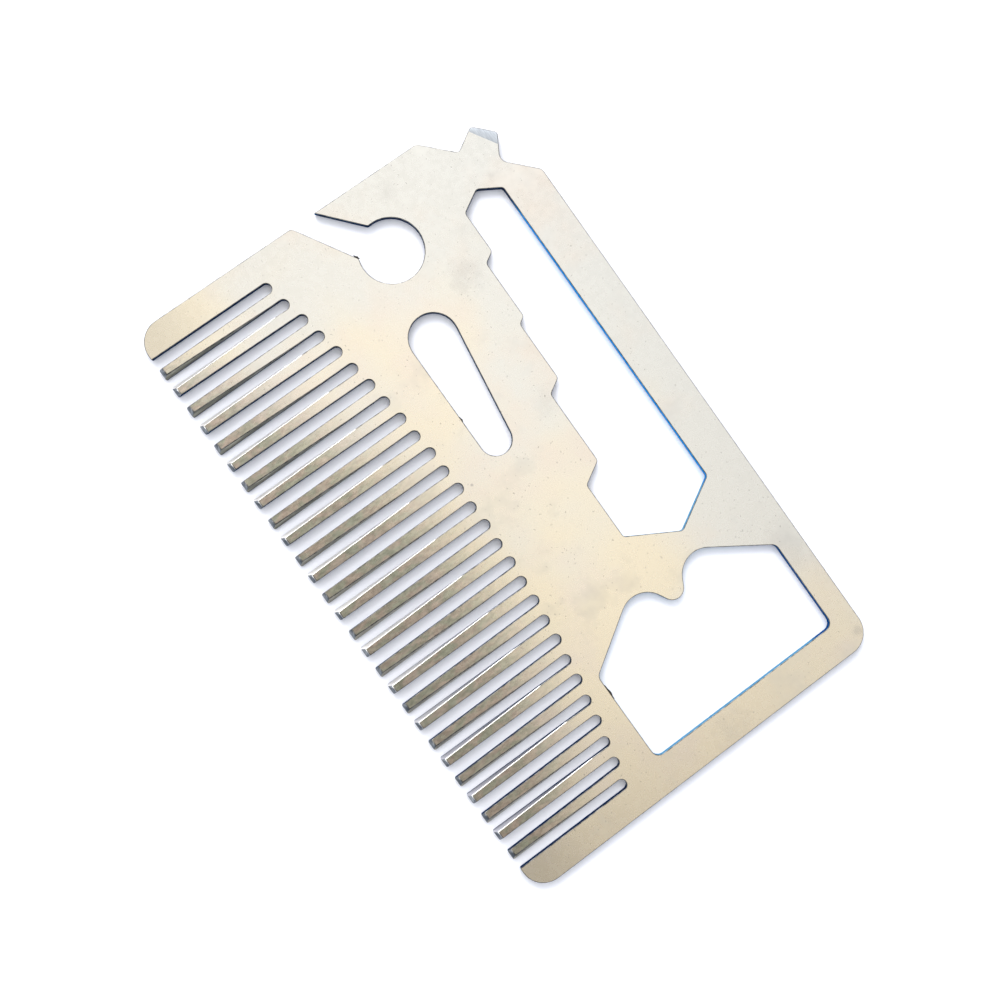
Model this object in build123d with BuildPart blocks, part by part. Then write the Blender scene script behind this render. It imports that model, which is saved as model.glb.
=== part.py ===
from build123d import *
import math
import os

# Card-sized pocket comb with built-in tools, cut from one flat sheet of stainless steel.
# Millimetres. +Z is up through the sheet, +X runs along the card, and the teeth point to -Y.
# The origin is the middle of the underside. Every x and y below is measured from the card's
# corner between the hooked short edge (x = 0) and the tooth edge (y = 0).

# --- Card ------------------------------------------------------------------
card_length = 85.6
card_width = 54.0
sheet_thickness = 1.0
card_corner_radius = 3.18
cut_corner = 11.5              # leg of the corner that is cut off at 45 degrees
cut_corner_radius = 1.0

# --- Flat driver tip on the cut corner -------------------------------------
driver_base_width = 5.3
driver_tip_width = 3.5
driver_height = 3.65
driver_root_radii = (0.5, 1.2)
driver_tip_radius = 0.5
ground_face_start = (1.80, 48.60)  # the ground faces begin on this line across the tip
ground_face_end = (5.55, 51.00)
ground_face_slope = 0.22           # drop per millimetre away from that line
ground_overrun = 1.3               # the cutter is this much longer than the line

# --- Cord hook in the short edge -------------------------------------------
hook_hole_radius = 4.2
hook_hole_x = 9.25
hook_hole_y = 32.1
hook_point_y = 26.9            # where the mouth's upper side meets the short edge
hook_point_angle = 42.0        # slope of the upper side, in degrees
hook_lip_y = 23.4              # where the mouth's lower side meets the short edge
hook_lip_angle = 31.3
hook_lip_radius = 0.8
hook_throat_radius = 0.4

# --- Tapered slot ----------------------------------------------------------
taper_big_radius = 3.2
taper_small_radius = 2.1
taper_big_x = 21.25
taper_small_x = 36.15
taper_floor_y = 26.85

# --- Stepped nut spanner ---------------------------------------------------
nut_sizes = (5.5, 7.0, 8.0, 10.0, 13.0)
nut_clearance = 0.4
spanner_back_y = 48.45
spanner_start_x = 10.65
step_end_x = (16.5, 25.5, 34.4, 45.9, 55.7)
spanner_corner_radius = 0.6
hexagon_corner_run = 1 / math.tan(math.radians(60))

# --- Bottle opener ---------------------------------------------------------
opener_middle_y = 36.3
opener_half_width = 14.3
opener_right_x = 81.05
opener_shoulder_x = 68.2
opener_hollow_x = 61.15        # where a slanted side and a side of the tongue would meet
opener_hollow_half_width = 3.65
tongue_apex_x = 68.0           # where the two sides of the tongue would meet
opener_corner_radius = 1.1
opener_hollow_radius = 3.4
tongue_radius = 1.55

# --- Comb teeth ------------------------------------------------------------
slot_count = 28
slot_pitch = 2.837
slot_width = 1.4
comb_middle_x = 42.72
longest_slot = 22.17           # at the middle of the row
slot_arc_radius = 150.0        # the round ends of the slots follow this arc
second_pass_step = 0.12        # every second slot is this much shorter
tooth_lean = 0.13              # each pair of teeth leans towards the slot that it shares
mouth_corner_radius = 0.15
bevel_width = 0.45             # of the bevel on a tooth's side at its tip
bevel_depth = 0.6
bevel_length = 15.5            # from the tip to where the bevel fades out
bevel_overrun = 1.5            # how far the bevel's cutter reaches past the surfaces, in bevels
tip_bevel_length = 0.5         # of the bevel across the end of every tooth
tip_bevel_depth = 0.35

card_plane = Plane(origin=(-card_length / 2, -card_width / 2, 0))


def slot_x(slot):
    """Middle of a slot, for slots 1 to slot_count."""
    return comb_middle_x + (slot - (slot_count + 1) / 2) * slot_pitch


def slot_end_y(slot):
    """Top of a slot's round end."""
    offset = slot_x(slot) - comb_middle_x
    drop = slot_arc_radius - math.sqrt(slot_arc_radius**2 - offset**2)
    shorter = second_pass_step if slot % 2 == 0 else 0
    return longest_slot - drop - shorter


def lean(tooth):
    """Sideways shift of a tooth's tip. Tooth 0 and the last one are the stiff end guards."""
    if tooth in (0, slot_count):
        return 0
    return tooth_lean if tooth % 2 == 1 else -tooth_lean


def hook_side_y(edge_y, angle, x):
    """Height of one side of the hook's mouth at x."""
    return edge_y + x * math.tan(math.radians(angle))


def bevel_cutter(tooth):
    """Section plane at the tip and sweep direction of the cutter that bevels one tooth."""
    side = 1 if tooth % 2 == 1 else -1
    shared_slot = tooth + 1 if side == 1 else tooth
    root_x = slot_x(shared_slot) - side * slot_width / 2
    fade_x = root_x + lean(tooth) * (1 - bevel_length / slot_end_y(shared_slot))
    tip = Vector(root_x + lean(tooth), 0, sheet_thickness)
    fade = Vector(fade_x + side * bevel_width, bevel_length, sheet_thickness)
    sweep_direction = fade - tip
    start = card_plane.from_local_coords(tip - sweep_direction.normalized())
    return Plane(origin=start, x_dir=(side, 0, 0), z_dir=(0, -side, 0)), sweep_direction


os.makedirs("parts", exist_ok=True)

with BuildPart() as comb_plate:
    with BuildSketch(card_plane):
        # The card, with one corner cut off.
        with BuildLine():
            FilletPolyline(
                (0, 0),
                (card_length, 0),
                (card_length, card_width),
                (cut_corner, card_width),
                (0, card_width - cut_corner),
                radius=[card_corner_radius] * 3 + [cut_corner_radius] * 2,
                close=True,
            )
        make_face()

        # The driver tip stands out from the middle of the cut.
        cut_middle = Vector(cut_corner / 2, card_width - cut_corner / 2)
        driver_flank = math.degrees(math.atan2(driver_height, (driver_base_width - driver_tip_width) / 2))
        along_cut = Vector(math.cos(math.radians(45)), math.sin(math.radians(45)))
        with Locations(cut_middle):
            Trapezoid(
                driver_base_width,
                driver_height,
                driver_flank,
                rotation=45,
                align=(Align.CENTER, Align.MIN),
            )
        for side, root_radius in zip((-1, 1), driver_root_radii):
            root = cut_middle + along_cut * (side * driver_base_width / 2)
            tip_corner = (
                cut_middle
                + along_cut * (side * driver_tip_width / 2)
                + along_cut.rotate(Axis.Z, 90) * driver_height
            )
            fillet(vertices().sort_by_distance(root)[0], radius=root_radius)
            fillet(vertices().sort_by_distance(tip_corner)[0], radius=driver_tip_radius)

        # The hook: a round hole that opens to the short edge through a slanted mouth.
        with Locations((hook_hole_x, hook_hole_y)):
            Circle(hook_hole_radius, mode=Mode.SUBTRACT)
        mouth_outside_x = -2
        mouth_inside_x = (7, hook_hole_x)
        Polygon(
            (mouth_outside_x, hook_side_y(hook_point_y, hook_point_angle, mouth_outside_x)),
            (mouth_outside_x, hook_side_y(hook_lip_y, hook_lip_angle, mouth_outside_x)),
            (mouth_inside_x[1], hook_side_y(hook_lip_y, hook_lip_angle, mouth_inside_x[1])),
            (mouth_inside_x[0], hook_side_y(hook_point_y, hook_point_angle, mouth_inside_x[0])),
            align=None,
            mode=Mode.SUBTRACT,
        )
        fillet(vertices().sort_by_distance((0, hook_lip_y))[0], radius=hook_lip_radius)
        throat = vertices().sort_by_distance((hook_hole_x, hook_hole_y))[0:2]
        fillet(throat, radius=hook_throat_radius)

        # The tapered slot: two round ends joined by a level side and a sloping one.
        taper_big = Vector(taper_big_x, taper_floor_y + taper_big_radius)
        taper_small = Vector(taper_small_x, taper_floor_y + taper_small_radius)
        taper_axis_angle = math.degrees(math.atan2(taper_small.Y - taper_big.Y, taper_small.X - taper_big.X))
        upward = Vector(0, 1).rotate(Axis.Z, 2 * taper_axis_angle)
        with Locations(taper_big):
            Circle(taper_big_radius, mode=Mode.SUBTRACT)
        with Locations(taper_small):
            Circle(taper_small_radius, mode=Mode.SUBTRACT)
        Polygon(
            taper_big - Vector(0, taper_big_radius),
            taper_small - Vector(0, taper_small_radius),
            taper_small + upward * taper_small_radius,
            taper_big + upward * taper_big_radius,
            align=None,
            mode=Mode.SUBTRACT,
        )

        # The spanner: hexagon halves of growing size that share one straight back edge.
        floors = [spanner_back_y - size - nut_clearance for size in nut_sizes]
        first_half = (spanner_back_y - floors[0]) / 2
        last_half = (spanner_back_y - floors[-1]) / 2
        spanner_points = [
            (spanner_start_x, spanner_back_y),
            (spanner_start_x - first_half * hexagon_corner_run, spanner_back_y - first_half),
            (spanner_start_x, floors[0]),
        ]
        for floor, next_floor, end_x in zip(floors, floors[1:], step_end_x):
            spanner_points.append((end_x, floor))
            spanner_points.append((end_x + (floor - next_floor) * hexagon_corner_run, next_floor))
        spanner_points += [
            (step_end_x[-1], floors[-1]),
            (step_end_x[-1] + last_half * hexagon_corner_run, spanner_back_y - last_half),
            (step_end_x[-1], spanner_back_y),
        ]
        with BuildLine():
            FilletPolyline(*spanner_points, radius=spanner_corner_radius, close=True)
        make_face(mode=Mode.SUBTRACT)

        # The bottle opener: a wide opening with a rounded tongue that lifts the cap.
        with BuildLine():
            FilletPolyline(
                (opener_right_x, opener_middle_y - opener_half_width),
                (opener_right_x, opener_middle_y + opener_half_width),
                (opener_shoulder_x, opener_middle_y + opener_half_width),
                (opener_hollow_x, opener_middle_y + opener_hollow_half_width),
                (tongue_apex_x, opener_middle_y),
                (opener_hollow_x, opener_middle_y - opener_hollow_half_width),
                (opener_shoulder_x, opener_middle_y - opener_half_width),
                radius=[
                    opener_corner_radius,
                    opener_corner_radius,
                    opener_corner_radius,
                    opener_hollow_radius,
                    tongue_radius,
                    opener_hollow_radius,
                    opener_corner_radius,
                ],
                close=True,
            )
        make_face(mode=Mode.SUBTRACT)

        # The slots between the teeth, round at the root and open at the tooth edge.
        for slot in range(1, slot_count + 1):
            middle_x = slot_x(slot)
            left_x = middle_x - slot_width / 2
            right_x = middle_x + slot_width / 2
            end_y = slot_end_y(slot)
            root_y = end_y - slot_width / 2
            with BuildLine():
                Polyline(
                    (left_x, root_y),
                    (left_x + lean(slot - 1), 0),
                    (right_x + lean(slot), 0),
                    (right_x, root_y),
                )
                ThreePointArc((right_x, root_y), (middle_x, end_y), (left_x, root_y))
            make_face(mode=Mode.SUBTRACT)
    extrude(amount=sheet_thickness)

    # The corners at the slots' mouths are broken.
    tip_y = -card_width / 2
    margin = 0.1
    first_side = slot_x(1) - slot_width / 2 - card_length / 2
    last_side = slot_x(slot_count) + slot_width / 2 - card_length / 2
    mouth_edges = (
        edges()
        .filter_by(Axis.Z)
        .filter_by_position(Axis.Y, tip_y - margin, tip_y + margin)
        .filter_by_position(Axis.X, first_side - margin, last_side + margin)
    )
    fillet(mouth_edges, radius=mouth_corner_radius)

    # Each tooth has a bevel along its upper edge, towards the slot that its pair shares.
    for tooth in range(1, slot_count):
        section_plane, sweep_direction = bevel_cutter(tooth)
        with BuildSketch(section_plane):
            Polygon(
                (-bevel_width * bevel_overrun, bevel_depth * (bevel_overrun - 1)),
                (bevel_width * (bevel_overrun - 1), -bevel_depth * bevel_overrun),
                (bevel_width * bevel_overrun, bevel_depth * (bevel_overrun - 1)),
                align=None,
            )
        extrude(amount=bevel_length + bevel_overrun, dir=sweep_direction, mode=Mode.SUBTRACT)

    # A bevel across the ends of all the teeth between the guards.
    row_end = card_plane.from_local_coords(Vector(slot_x(slot_count), 0, sheet_thickness))
    with BuildSketch(Plane(origin=row_end, x_dir=(0, -1, 0), z_dir=(-1, 0, 0))):
        Polygon(
            (-tip_bevel_length * bevel_overrun, tip_bevel_depth * (bevel_overrun - 1)),
            (tip_bevel_length * (bevel_overrun - 1), -tip_bevel_depth * bevel_overrun),
            (tip_bevel_length * bevel_overrun, tip_bevel_depth * (bevel_overrun - 1)),
            align=None,
        )
    extrude(amount=slot_x(slot_count) - slot_x(1), mode=Mode.SUBTRACT)

    # The driver tip is ground thinner on both faces, most at one corner.
    ground_start = card_plane.from_local_coords(Vector(*ground_face_start))
    ground_end = card_plane.from_local_coords(Vector(*ground_face_end))
    ground_length = (ground_end - ground_start).length
    for face_z, outward in ((sheet_thickness, 1), (0, -1)):
        across = Plane(
            origin=ground_start + Vector(0, 0, face_z),
            x_dir=(ground_end - ground_start).rotate(Axis.Z, 90),
            z_dir=(ground_end - ground_start) * -outward,
        )
        with BuildSketch(across):
            Polygon(
                (0, 0),
                (driver_height, -ground_face_slope * driver_height),
                (driver_height, sheet_thickness / 2),
                align=None,
            )
        extrude(amount=-outward * ground_length * ground_overrun, mode=Mode.SUBTRACT)

comb_plate.part.label = "comb_plate"
export_step(comb_plate.part, "parts/comb_plate.step")
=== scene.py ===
import math

import bmesh
import bpy
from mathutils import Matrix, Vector


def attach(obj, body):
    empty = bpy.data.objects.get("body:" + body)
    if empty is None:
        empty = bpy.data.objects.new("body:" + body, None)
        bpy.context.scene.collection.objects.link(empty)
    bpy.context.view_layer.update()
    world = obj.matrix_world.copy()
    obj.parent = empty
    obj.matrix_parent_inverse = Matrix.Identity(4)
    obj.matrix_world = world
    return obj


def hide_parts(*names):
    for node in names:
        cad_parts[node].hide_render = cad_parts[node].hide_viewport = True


# A card-sized steel pocket comb lying flat on a white table. Metres; the frame of the CAD part:
# +X along the card, teeth towards -Y, +Z up, origin in the middle of the underside.
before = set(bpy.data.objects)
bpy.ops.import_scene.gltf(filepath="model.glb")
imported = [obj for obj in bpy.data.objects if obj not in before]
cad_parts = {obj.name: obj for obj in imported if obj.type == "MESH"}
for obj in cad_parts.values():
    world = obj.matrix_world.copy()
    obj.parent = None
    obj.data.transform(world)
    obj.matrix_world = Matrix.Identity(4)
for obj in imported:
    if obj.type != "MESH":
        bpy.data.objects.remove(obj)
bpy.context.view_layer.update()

MM = 0.001
CAD_NODE = "comb_plate"

# --- Plate ------------------------------------------------------------------
WELD_DISTANCE = 0.001 * MM
FLAT_ANGLE = math.radians(0.5)
SHARP_ANGLE = math.radians(25)
EDGE_ROUNDING = 0.09 * MM
EDGE_SEGMENTS = 3
UPPER_EDGES = 0.93 * MM             # edges that lie wholly above this height, or
LOWER_EDGES = 0.07 * MM             # below this one, are rounded

# Material numbers on the plate, and how a CAD face gets one from its normal.
FACE, WALL, EDGE, LIT_BEVEL, RIM, SHADED_BEVEL, END, TIP = range(8)
WALL_RISE = 0.3                     # a cut wall's normal rises less than this, the two big
FACE_RISE = 0.999                   # faces' normals more than this, and of the bevels between
SIDE_TURN = 0.3                     # them, those on the teeth's sides turn this much along X
RIM_ROWS = 2                        # rows of the rounding, next to a bright bevel, that get a painted highlight
RIM_STARTS = ({LIT_BEVEL, EDGE}, {RIM, EDGE})

# --- Steel: places are in mm --------------------------------------------------
ROW_HALF_LENGTH = 39.0              # the teeth lie within this x, and the end guards beyond it
GRIND_AND_SHADE_MIDDLE = 6.0                  # the teeth near this x are ground the most and get the most painted shade
GRIND_AND_SHADE_START, GRIND_AND_SHADE_FULL = -4.0, -17.0     # the y where the grinding and its painted shade begin and where they are full, there
GRIND_AND_SHADE_CURVE = 0.008                 # how fast the grinding and its painted shade draw back from that x, in mm per mm squared
OPENINGS_RIGHT, OPENINGS_BACK = 41.0, 25.0     # the openings lie within these, the outline beyond
SMUDGES = (                         # x, y, radius and darkness of the finger marks
    (-25.8, 11.0, 3.0, 0.24),
    (-6.8, 10.0, 3.0, 0.15),
    (27.0, 25.0, 4.0, 0.16),
    (40.7, 25.7, 1.2, 0.35),
    (-38.0, 2.0, 2.2, 0.12),
    (41.0, 5.0, 3.5, 0.16),
    (40.9, -14.5, 3.0, 0.07),
    (-40.0, 8.6, 2.4, 0.14),
    (-34.1, 21.3, 1.2, 0.28),
    (-30.2, 14.8, 2.2, 0.10),
    (-3.7, -3.9, 0.35, 1.0),
)

# --- Burrs: where each starts and ends along a cut, and its width, in mm -----
BURRS = (
    ((26.7, -4.96), (28.9, -4.98), 0.40),
    ((-35.75, 0.82), (-34.95, 1.25), 0.36),
    ((-11.6, -0.13), (-10.75, -0.13), 0.32),
)
BURR_FOOT = 0.80 * MM
BURR_TOP = 1.04 * MM
BURR_STEPS = 8
BURR_TOP_SPREAD = 0.55              # a burr's top is this much as wide as its foot
BURR_RIPPLE = 0.25                  # share of its width that comes and goes along it,
BURR_RIPPLE_TURN = 9.0              # and by how many radians from end to end

# --- Camera: right above the teeth, turned so that the card lies aslant ------
CAMERA_PLACE = (-4.94 * MM, -14.52 * MM, 157.08 * MM)
CAMERA_ANGLES = (1.637, -6.117, 54.248)   # degrees
CAMERA_LENS = 44.676
CAMERA_SHIFT = (-0.03, -0.009)
SENSOR_WIDTH = 36.0

# --- Light: a soft lamp low down beyond the hooked end, in metres -------------
LAMP_PLACE = (-0.74, 0.26, 0.40)
LAMP_SIZE = (0.75, 0.75)
LAMP_POWER = 10.0
LAMP_COLOUR = (1.0, 0.98, 0.95)

# --- Table --------------------------------------------------------------------
TABLE_HALF = 2.0
TABLE_TOP = -0.02 * MM
TABLE_COLOUR = (0.90, 0.925, 1.0, 1.0)


def new_material(name):
    """A material with one Principled shader. Returns the material, its node tree and the shader."""
    material = bpy.data.materials.new(name)
    material.use_nodes = True
    tree = material.node_tree
    return material, tree, tree.nodes["Principled BSDF"]


def link(tree, output, target):
    """Joins an output to a socket, or sets a plain value on it."""
    if isinstance(output, bpy.types.NodeSocket):
        tree.links.new(output, target)
    else:
        target.default_value = output


def math_node(tree, operation, *values, clamp=False):
    node = tree.nodes.new("ShaderNodeMath")
    node.operation = operation
    node.use_clamp = clamp
    for socket, value in zip(node.inputs, values):
        link(tree, value, socket)
    return node.outputs[0]


def ramp(tree, value, low, high, low_out=0.0, high_out=1.0):
    """A smooth step from low_out at low to high_out at high."""
    node = tree.nodes.new("ShaderNodeMapRange")
    node.interpolation_type = "SMOOTHSTEP"
    for name, number in (("From Min", low), ("From Max", high), ("To Min", low_out), ("To Max", high_out)):
        node.inputs[name].default_value = number
    link(tree, value, node.inputs["Value"])
    return node.outputs["Result"]


def ramp_grey(tree, value, low, high, dark, light):
    """A smooth step from a dark to a light grey, as a colour."""
    level = ramp(tree, value, low, high, dark, light)
    node = tree.nodes.new("ShaderNodeCombineColor")
    for socket in node.inputs:
        tree.links.new(level, socket)
    return node.outputs[0]


def mix(tree, factor, first, second, blend="MIX"):
    node = tree.nodes.new("ShaderNodeMix")
    node.data_type = "RGBA"
    node.blend_type = blend
    link(tree, factor, node.inputs[0])
    link(tree, first, node.inputs[6])
    link(tree, second, node.inputs[7])
    return node.outputs[2]


def millimetres(tree, stretch=(1, 1, 1), offset=(0, 0, 0)):
    """The point on the part in millimetres, stretched along the axes."""
    place = tree.nodes.new("ShaderNodeTexCoord")
    node = tree.nodes.new("ShaderNodeMapping")
    node.inputs["Scale"].default_value = [factor / MM for factor in stretch]
    node.inputs["Location"].default_value = offset
    tree.links.new(place.outputs["Object"], node.inputs["Vector"])
    return node.outputs["Vector"]


def x_and_y(tree):
    """Where a point is along the card and across it, in millimetres."""
    axes = tree.nodes.new("ShaderNodeSeparateXYZ")
    tree.links.new(millimetres(tree), axes.inputs[0])
    return axes.outputs["X"], axes.outputs["Y"]


def noise(tree, scale, detail=2.0, roughness=0.5, stretch=(1, 1, 1), offset=(0, 0, 0)):
    """Noise whose patches are about 1/scale mm wide."""
    node = tree.nodes.new("ShaderNodeTexNoise")
    node.inputs["Scale"].default_value = scale
    node.inputs["Detail"].default_value = detail
    node.inputs["Roughness"].default_value = roughness
    tree.links.new(millimetres(tree, stretch, offset), node.inputs["Vector"])
    return node.outputs["Fac"]


def bump(tree, height, distance, normal=None):
    node = tree.nodes.new("ShaderNodeBump")
    node.inputs["Strength"].default_value = 1.0
    node.inputs["Distance"].default_value = distance
    link(tree, height, node.inputs["Height"])
    if normal is not None:
        tree.links.new(normal, node.inputs["Normal"])
    return node.outputs["Normal"]


def clouded_steel(tree, x, y):
    """Colour of the clean face: cool at the hooked end, warm at the teeth, pinkish in clouds."""
    cool = (0.69, 0.69, 0.665, 1.0)
    warm = (0.76, 0.70, 0.57, 1.0)
    pinkish = (0.72, 0.66, 0.60, 1.0)
    clouds = noise(tree, 0.05, 2.0, 0.5, offset=(3, 7, 0))
    lean = math_node(tree, "MULTIPLY_ADD", y, -0.012, math_node(tree, "MULTIPLY_ADD", x, 0.006, clouds))
    colour = mix(tree, ramp(tree, lean, 0.28, 0.6), cool, warm)
    blush = noise(tree, 0.10, 3.0, 0.55, offset=(31, -12, 5))
    return mix(tree, ramp(tree, blush, 0.45, 0.75, 0.0, 0.8), colour, pinkish)


def with_smudges(tree, colour, smudge, x, y):
    """The colour with faint random smudges and the finger marks, which have ragged outlines."""
    faint = (0.45, 0.44, 0.42, 1.0)
    marked = (0.42, 0.41, 0.40, 1.0)
    colour = mix(tree, math_node(tree, "MULTIPLY", smudge, 0.14), colour, faint)
    ragged = noise(tree, 0.5, 3.0, 0.6, offset=(1, 1, 0))
    ragged = math_node(tree, "MULTIPLY_ADD", ragged, 2.4, -1.2)
    for mark_x, mark_y, radius, darkness in SMUDGES:
        across = math_node(tree, "POWER", math_node(tree, "SUBTRACT", x, mark_x), 2.0)
        along = math_node(tree, "POWER", math_node(tree, "SUBTRACT", y, mark_y), 2.0)
        distance = math_node(tree, "SQRT", math_node(tree, "ADD", across, along))
        distance = math_node(tree, "MULTIPLY_ADD", ragged, radius, distance)
        colour = mix(tree, ramp(tree, distance, radius, 0.0, 0.0, darkness), colour, marked)
    return colour


def with_grind_and_painted_shade(tree, colour, x, y):
    """The colour with the dull, patchy grinding on the teeth, darkened further as painted shade, and the
    painted shade on the ends of the end guards.
    """
    greenish = (0.265, 0.285, 0.23, 1.0)
    brownish = (0.36, 0.30, 0.26, 1.0)
    guard_tip_painted_shade = (0.30, 0.29, 0.27, 1.0)
    in_row = math_node(tree, "LESS_THAN", math_node(tree, "ABSOLUTE", x), ROW_HALF_LENGTH)
    aside = math_node(tree, "POWER", math_node(tree, "SUBTRACT", x, GRIND_AND_SHADE_MIDDLE), 2.0)
    depth = math_node(tree, "MULTIPLY_ADD", aside, GRIND_AND_SHADE_CURVE, y)
    # The grinding is partly painted shade: it darkens the teeth towards their tips.
    grind_and_shade = math_node(tree, "MULTIPLY", ramp(tree, depth, GRIND_AND_SHADE_START, GRIND_AND_SHADE_FULL), in_row)
    patches = noise(tree, 0.9, 3.0, 0.6, stretch=(1, 0.5, 1), offset=(7, 3, 1))
    ground = mix(tree, ramp(tree, patches, 0.38, 0.62), greenish, brownish)
    colour = mix(tree, math_node(tree, "MULTIPLY", grind_and_shade, 0.88), colour, ground)
    rub = noise(tree, 2.4, 3.0, 0.65, stretch=(1, 0.4, 1), offset=(2, 0, 9))
    streaked = mix(tree, 1.0, colour, ramp_grey(tree, rub, 0.28, 0.72, 0.78, 1.2), "MULTIPLY")
    colour = mix(tree, grind_and_shade, colour, streaked)
    # Painted shade on the ends of the end guards, past the row of teeth.
    guard_end_shade = math_node(tree, "SUBTRACT", ramp(tree, y, -15.0, -26.0, 0.0, 0.3), in_row, clamp=True)
    return mix(tree, guard_end_shade, colour, guard_tip_painted_shade)


def steel_face():
    """Tumbled stainless: warm and satin, with clouds, smudges, pits and a dull grinding on the teeth that
    is partly painted shade.
    """
    material, tree, shader = new_material("satin_steel")
    x, y = x_and_y(tree)
    pit_colour = (0.26, 0.25, 0.23, 1.0)

    smudge = ramp(tree, noise(tree, 0.16, 4.0, 0.62, offset=(-8, 20, 0)), 0.52, 0.74)
    mottle = noise(tree, 1.3, 3.0, 0.55)
    pits = ramp(tree, noise(tree, 3.4, 1.0, 0.4, offset=(5, 5, 5)), 0.73, 0.77)
    colour = with_smudges(tree, clouded_steel(tree, x, y), smudge, x, y)
    colour = mix(tree, 1.0, colour, ramp_grey(tree, mottle, 0.25, 0.75, 0.982, 1.012), "MULTIPLY")
    colour = with_grind_and_painted_shade(tree, colour, x, y)
    colour = mix(tree, math_node(tree, "MULTIPLY", pits, 0.4), colour, pit_colour)
    link(tree, colour, shader.inputs["Base Color"])

    satin = ramp(tree, mottle, 0.2, 0.8, 0.25, 0.29)
    greasy = math_node(tree, "MULTIPLY", smudge, 0.08)
    link(tree, math_node(tree, "ADD", satin, greasy), shader.inputs["Roughness"])
    normal = bump(tree, noise(tree, 4.0, 2.0, 0.5), 0.0005 * MM)
    normal = bump(tree, pits, -0.003 * MM, normal)
    link(tree, normal, shader.inputs["Normal"])
    shader.inputs["Metallic"].default_value = 1.0
    return material


def steel_wall():
    """The cut sides: painted near-black as shade, striped through the sheet, and painted blue as a
    reflection on some walls of the openings.
    """
    material, tree, shader = new_material("cut_wall_painted_shade")
    black, near_black = (0.012, 0.012, 0.016, 1.0), (0.04, 0.04, 0.045, 1.0)
    pale_blue = (0.22, 0.38, 0.48, 1.0)
    bright_blue, navy = (0.02, 0.38, 0.78, 1.0), (0.01, 0.09, 0.24, 1.0)
    grazing_blue = (0.10, 0.42, 0.75, 1.0)
    x, y = x_and_y(tree)
    stripes = noise(tree, 5.0, 2.0, 0.5, stretch=(1, 1, 0.06))
    # Painted shade: the walls are near black.
    colour = mix(tree, ramp(tree, stripes, 0.3, 0.7), black, near_black)
    inside = math_node(
        tree,
        "MULTIPLY",
        ramp(tree, x, OPENINGS_RIGHT + 0.5, OPENINGS_RIGHT - 0.5),
        ramp(tree, y, OPENINGS_BACK + 0.5, OPENINGS_BACK - 0.5),
    )
    # Painted reflection: pale blue on the openings' walls towards the far end, blue on the walls near
    # their back.
    far_end = math_node(tree, "MULTIPLY", ramp(tree, x, 11.0, 13.0), ramp(tree, y, -6.0, -4.0))
    colour = mix(tree, math_node(tree, "MULTIPLY", far_end, inside), colour, pale_blue)
    back_sides = math_node(tree, "MULTIPLY", ramp(tree, y, 19.8, 21.2), ramp(tree, x, -31.0, -27.0))
    blue = mix(tree, ramp(tree, x, 12.0, 16.0), bright_blue, navy)
    colour = mix(tree, math_node(tree, "MULTIPLY", back_sides, inside), colour, blue)
    link(tree, colour, shader.inputs["Base Color"])
    link(tree, ramp(tree, stripes, 0.2, 0.8, 0.35, 0.5), shader.inputs["Roughness"])
    link(tree, bump(tree, stripes, 0.02 * MM), shader.inputs["Normal"])
    shader.inputs["Metallic"].default_value = 1.0
    shader.inputs["Specular Tint"].default_value = grazing_blue
    return material


def plain_steel(name, dark, light, smooth, rough, scale, stretch=(1, 1, 1)):
    """Steel that varies between two colours and two roughnesses in one noise."""
    material, tree, shader = new_material(name)
    wear = noise(tree, scale, 3.0, 0.6, stretch)
    link(tree, mix(tree, ramp(tree, wear, 0.3, 0.7), dark, light), shader.inputs["Base Color"])
    link(tree, ramp(tree, wear, 0.3, 0.7, rough, smooth), shader.inputs["Roughness"])
    shader.inputs["Metallic"].default_value = 1.0
    return material


def edge_painted_shade():
    """The rounded edges: painted dark as a shaded outline, lighter in places."""
    shaded_tone, lighter_tone = (0.05, 0.05, 0.05, 1.0), (0.24, 0.235, 0.22, 1.0)
    return plain_steel("edge_painted_shade", shaded_tone, lighter_tone, 0.30, 0.45, 1.2)


def rim_painted_highlight():
    """The rounding between a bright bevel and the upper face, painted near-white as a highlight."""
    dull, lighter_tone = (0.78, 0.77, 0.75, 1.0), (0.95, 0.94, 0.91, 1.0)
    return plain_steel("rim_painted_highlight", dull, lighter_tone, 0.26, 0.36, 3.0)


def end_bevel():
    """The bevels across the ends of the teeth: blue-grey steel."""
    dark, light = (0.13, 0.15, 0.175, 1.0), (0.27, 0.29, 0.32, 1.0)
    return plain_steel("end_bevel", dark, light, 0.3, 0.42, 1.5)


def ground_tip():
    """The thinned tip of the screwdriver: cool steel with fine grinding lines."""
    dark, light = (0.29, 0.315, 0.35, 1.0), (0.38, 0.41, 0.445, 1.0)
    return plain_steel("ground_tip", dark, light, 0.44, 0.54, 6.0, (0.12, 1, 1))


def scorched_burr():
    """The slivers left by the cut: burnt almost black."""
    black, brown = (0.02, 0.02, 0.02, 1.0), (0.10, 0.09, 0.08, 1.0)
    return plain_steel("scorched_burr", black, brown, 0.4, 0.6, 4.0)


def bevel(name, dark, light, beyond, begin, end, smooth):
    """Ground steel between two colours, fading to a third between two places along the row."""
    material, tree, shader = new_material(name)
    wear = noise(tree, 3.0, 3.0, 0.6, stretch=(1, 0.12, 1))
    x, _ = x_and_y(tree)
    colour = mix(tree, ramp(tree, wear, 0.3, 0.7), dark, light)
    link(tree, mix(tree, ramp(tree, x, begin, end), colour, beyond), shader.inputs["Base Color"])
    link(tree, ramp(tree, wear, 0.3, 0.7, smooth + 0.1, smooth), shader.inputs["Roughness"])
    shader.inputs["Metallic"].default_value = 1.0
    return material


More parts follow.
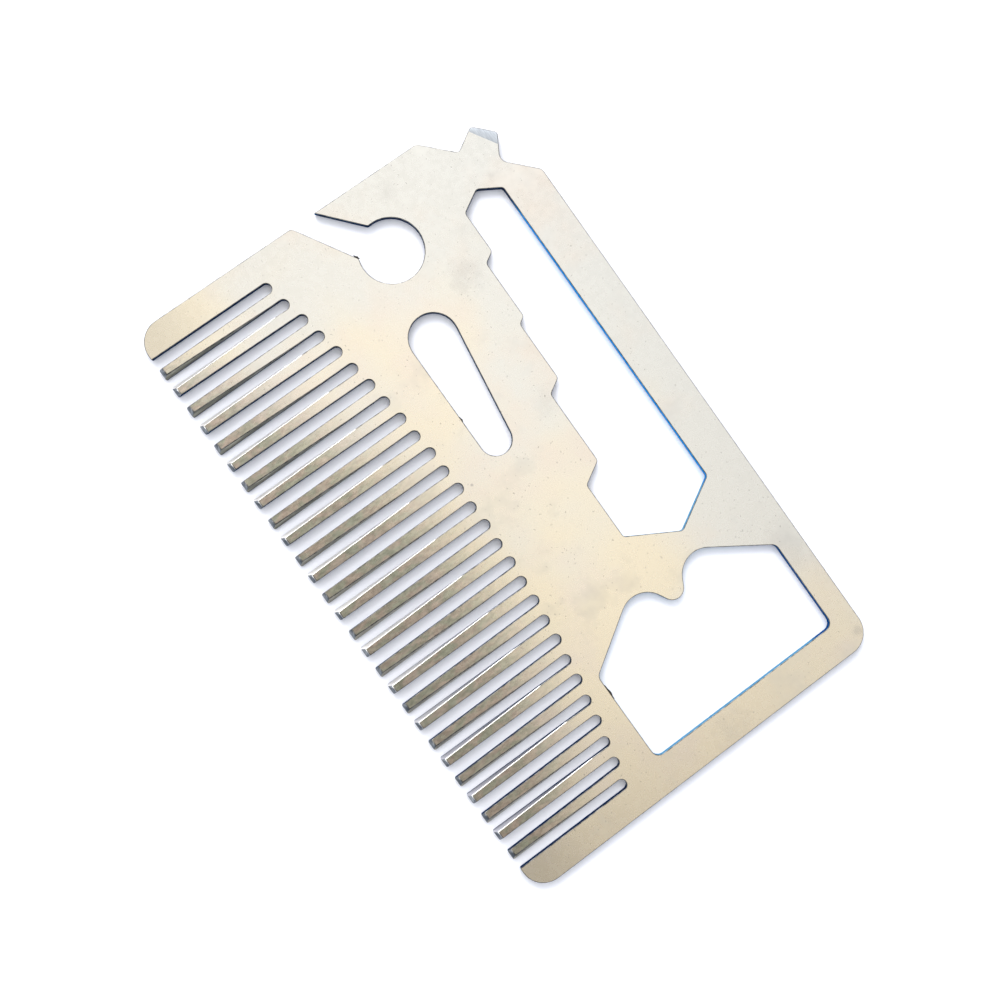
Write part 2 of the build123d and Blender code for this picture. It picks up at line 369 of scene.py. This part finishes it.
def lit_bevel_painted_light():
    """The bevels that face the hooked end: ground, painted bright as a highlight, and painted
    lavender-grey as shade in the far teeth.
    """
    dark, light = (0.80, 0.80, 0.79, 1.0), (0.94, 0.93, 0.92, 1.0)
    lavender = (0.40, 0.405, 0.46, 1.0)
    return bevel("lit_bevel_painted_light", dark, light, lavender, 2.0, 24.0, 0.42)


def shaded_bevel_painted_shade():
    """The bevels that face away from it, painted dark as shade near the hooked end and less so further
    along.
    """
    dark, light = (0.17, 0.175, 0.155, 1.0), (0.32, 0.325, 0.29, 1.0)
    less_shaded = (0.38, 0.37, 0.33, 1.0)
    return bevel("shaded_bevel_painted_shade", dark, light, less_shaded, -16.0, 4.0, 0.3)


# One maker for each material number on the plate, in the order of the numbers.
PLATE_FINISHES = (
    steel_face,
    steel_wall,
    edge_painted_shade,
    lit_bevel_painted_light,
    rim_painted_highlight,
    shaded_bevel_painted_shade,
    end_bevel,
    ground_tip,
)


def finish_of(normal):
    """The material number of a CAD face."""
    rise = abs(normal.z)
    if rise < WALL_RISE:
        return WALL
    if rise > FACE_RISE:
        return FACE
    if abs(normal.x) > SIDE_TURN:
        # Bevels facing -X get the copy painted with a highlight, those facing +X the copy painted with
        # shade.
        return LIT_BEVEL if normal.x < 0 else SHADED_BEVEL
    return END if normal.y < 0 else TIP


def finishes_beside(edge):
    """The material numbers on the two sides of an edge."""
    return {face.material_index for face in edge.link_faces}


def at_a_face(edge):
    """True for an edge along the upper or lower face or a ground tip, not one halfway down a cut."""
    heights = [vertex.co.z for vertex in edge.verts]
    if finishes_beside(edge) == {TIP, WALL}:
        return True
    return min(heights) > UPPER_EDGES or max(heights) < LOWER_EDGES


def add_piece(name, bm, finishes):
    """Turns a finished bmesh into an object with these materials."""
    mesh = bpy.data.meshes.new(name)
    bm.to_mesh(mesh)
    bm.free()
    for make_material in finishes:
        mesh.materials.append(make_material())
    piece = bpy.data.objects.new(name, mesh)
    bpy.context.scene.collection.objects.link(piece)
    return piece


def build_plate():
    """The CAD plate with its edges rounded off and its faces sorted by finish, some finishes carrying
    painted light and shade.
    """
    bm = bmesh.new()
    bm.from_mesh(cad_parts[CAD_NODE].data)
    bmesh.ops.remove_doubles(bm, verts=bm.verts, dist=WELD_DISTANCE)
    bmesh.ops.dissolve_limit(bm, angle_limit=FLAT_ANGLE, verts=bm.verts, edges=bm.edges)
    for face in bm.faces:
        face.material_index = finish_of(face.normal)
        face.smooth = True
    corners = [edge for edge in bm.edges if edge.calc_face_angle() > SHARP_ANGLE]
    for edge in corners:
        edge.smooth = at_a_face(edge)
    bmesh.ops.bevel(
        bm,
        geom=[edge for edge in corners if edge.smooth],
        offset=EDGE_ROUNDING,
        offset_type="OFFSET",
        segments=EDGE_SEGMENTS,
        profile=0.5,
        affect="EDGES",
        clamp_overlap=False,
        material=EDGE,
    )
    # The rows of rounding next to a bright bevel get the painted highlight.
    for _ in range(RIM_ROWS):
        rim_edges = [edge for edge in bm.edges if finishes_beside(edge) in RIM_STARTS]
        for edge in rim_edges:
            for face in edge.link_faces:
                if face.material_index == EDGE:
                    face.material_index = RIM
    plate = add_piece("plate", bm, PLATE_FINISHES)
    flats = plate.modifiers.new("flat_faces", "WEIGHTED_NORMAL")
    flats.mode = "FACE_AREA"
    flats.weight = 100
    flats.keep_sharp = True
    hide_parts(CAD_NODE)
    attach(plate, "root")


def burr_ring(bm, start, end, width, height):
    """A closed loop of points round one level of a burr: out along one side and back along the other."""
    direction = end - start
    across = Vector((-direction.y, direction.x, 0)).normalized()
    there = [(step / BURR_STEPS, 1) for step in range(BURR_STEPS + 1)]
    back = [(step / BURR_STEPS, -1) for step in range(BURR_STEPS - 1, 0, -1)]
    ring = []
    for along, side in there + back:
        ripple = BURR_RIPPLE * math.cos(BURR_RIPPLE_TURN * along + side)
        swell = math.sin(math.pi * along) * (1 - BURR_RIPPLE + ripple)
        offset = across * (side * swell * width / 2)
        ring.append(bm.verts.new(start.lerp(end, along) + offset + Vector((0, 0, height))))
    return ring


def build_burrs():
    """Dark slivers left standing along the upper edge where the laser started its cuts."""
    bm = bmesh.new()
    for start, end, width in BURRS:
        start = Vector((*start, 0)) * MM
        end = Vector((*end, 0)) * MM
        foot = burr_ring(bm, start, end, width * MM, BURR_FOOT)
        top = burr_ring(bm, start, end, width * MM * BURR_TOP_SPREAD, BURR_TOP)
        for index in range(len(foot)):
            after = (index + 1) % len(foot)
            bm.faces.new((foot[index], foot[after], top[after], top[index]))
        bm.faces.new(top)
        bm.faces.new(foot[::-1])
    bmesh.ops.recalc_face_normals(bm, faces=bm.faces)
    burrs = add_piece("cut_burrs", bm, (scorched_burr,))
    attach(burrs, "root")


def build_table():
    """A plain white table top just under the plate."""
    mesh = bpy.data.meshes.new("table")
    outline = ((-1, -1), (1, -1), (1, 1), (-1, 1))
    corners = [(TABLE_HALF * side_x, TABLE_HALF * side_y, TABLE_TOP) for side_x, side_y in outline]
    mesh.from_pydata(corners, [], [(0, 1, 2, 3)])
    material, _, shader = new_material("white_table")
    shader.inputs["Base Color"].default_value = TABLE_COLOUR
    shader.inputs["Roughness"].default_value = 0.7
    shader.inputs["Specular IOR Level"].default_value = 0.1
    mesh.materials.append(material)
    table = bpy.data.objects.new("table", mesh)
    bpy.context.scene.collection.objects.link(table)


def sky_colour(tree):
    """Light from each direction: a dim horizon, a bright band above it, and overhead a ceiling that
    falls off towards the opener's end, with a soft dark patch where the onlooker stands."""
    place = tree.nodes.new("ShaderNodeTexCoord")
    axes = tree.nodes.new("ShaderNodeSeparateXYZ")
    tree.links.new(place.outputs["Generated"], axes.inputs[0])
    x, y, z = axes.outputs["X"], axes.outputs["Y"], axes.outputs["Z"]

    warm_ceiling, dim_ceiling = (1.58, 1.50, 1.36, 1.0), (0.50, 0.43, 0.35, 1.0)
    hook_ceiling = (1.00, 0.97, 0.93, 1.0)
    ceiling = mix(tree, ramp(tree, x, 0.21, 0.33), warm_ceiling, dim_ceiling)
    ceiling = mix(tree, ramp(tree, x, -0.14, -0.29), ceiling, hook_ceiling)
    back_near, back_far = (1.04, 1.05, 1.05, 1.0), (0.98, 0.93, 0.86, 1.0)
    back = mix(tree, ramp(tree, x, 0.0, 0.3), back_near, back_far)
    ceiling = mix(tree, ramp(tree, y, 0.12, 0.27), ceiling, back)

    width = math_node(tree, "MULTIPLY", ramp(tree, x, -0.16, 0.0), ramp(tree, x, 0.42, 0.08))
    onlooker = math_node(tree, "MULTIPLY", ramp(tree, y, 0.04, -0.08), width)
    ceiling = mix(tree, onlooker, ceiling, (0.12, 0.115, 0.11, 1.0))

    far_band, hook_band = (0.8, 0.84, 0.90, 1.0), (1.7, 1.7, 1.72, 1.0)
    band = mix(tree, ramp(tree, x, 0.6, -0.4), far_band, hook_band)
    far_horizon, hook_horizon = (0.06, 0.065, 0.075, 1.0), (0.30, 0.32, 0.36, 1.0)
    horizon = mix(tree, ramp(tree, x, 0.5, -0.5), far_horizon, hook_horizon)
    colour = mix(tree, ramp(tree, z, 0.80, 0.93), band, ceiling)
    return mix(tree, ramp(tree, z, 0.05, 0.5), horizon, colour)


def build_light():
    """A dim room with a bright ceiling, and a large soft lamp beyond the hooked end."""
    world = bpy.data.worlds.new("studio")
    bpy.context.scene.world = world
    world.use_nodes = True
    tree = world.node_tree
    background = tree.nodes["Background"]
    tree.links.new(sky_colour(tree), background.inputs["Color"])
    background.inputs["Strength"].default_value = 1.0

    lamp = bpy.data.lights.new("key", "AREA")
    lamp.shape = "RECTANGLE"
    lamp.size, lamp.size_y = LAMP_SIZE
    lamp.energy = LAMP_POWER
    lamp.color = LAMP_COLOUR
    light = bpy.data.objects.new("key", lamp)
    light.location = LAMP_PLACE
    light.rotation_euler = (-Vector(LAMP_PLACE)).to_track_quat("-Z", "Y").to_euler()
    bpy.context.scene.collection.objects.link(light)


def build_camera():
    data = bpy.data.cameras.new("camera")
    data.lens = CAMERA_LENS
    data.sensor_width = SENSOR_WIDTH
    data.shift_x, data.shift_y = CAMERA_SHIFT
    data.clip_start, data.clip_end = 0.01, 20.0
    camera = bpy.data.objects.new("camera", data)
    camera.location = CAMERA_PLACE
    camera.rotation_euler = [math.radians(angle) for angle in CAMERA_ANGLES]
    bpy.context.scene.collection.objects.link(camera)
    bpy.context.scene.camera = camera


build_plate()
build_burrs()
build_table()
build_light()
build_camera()
bpy.context.scene.view_settings.view_transform = "Standard"
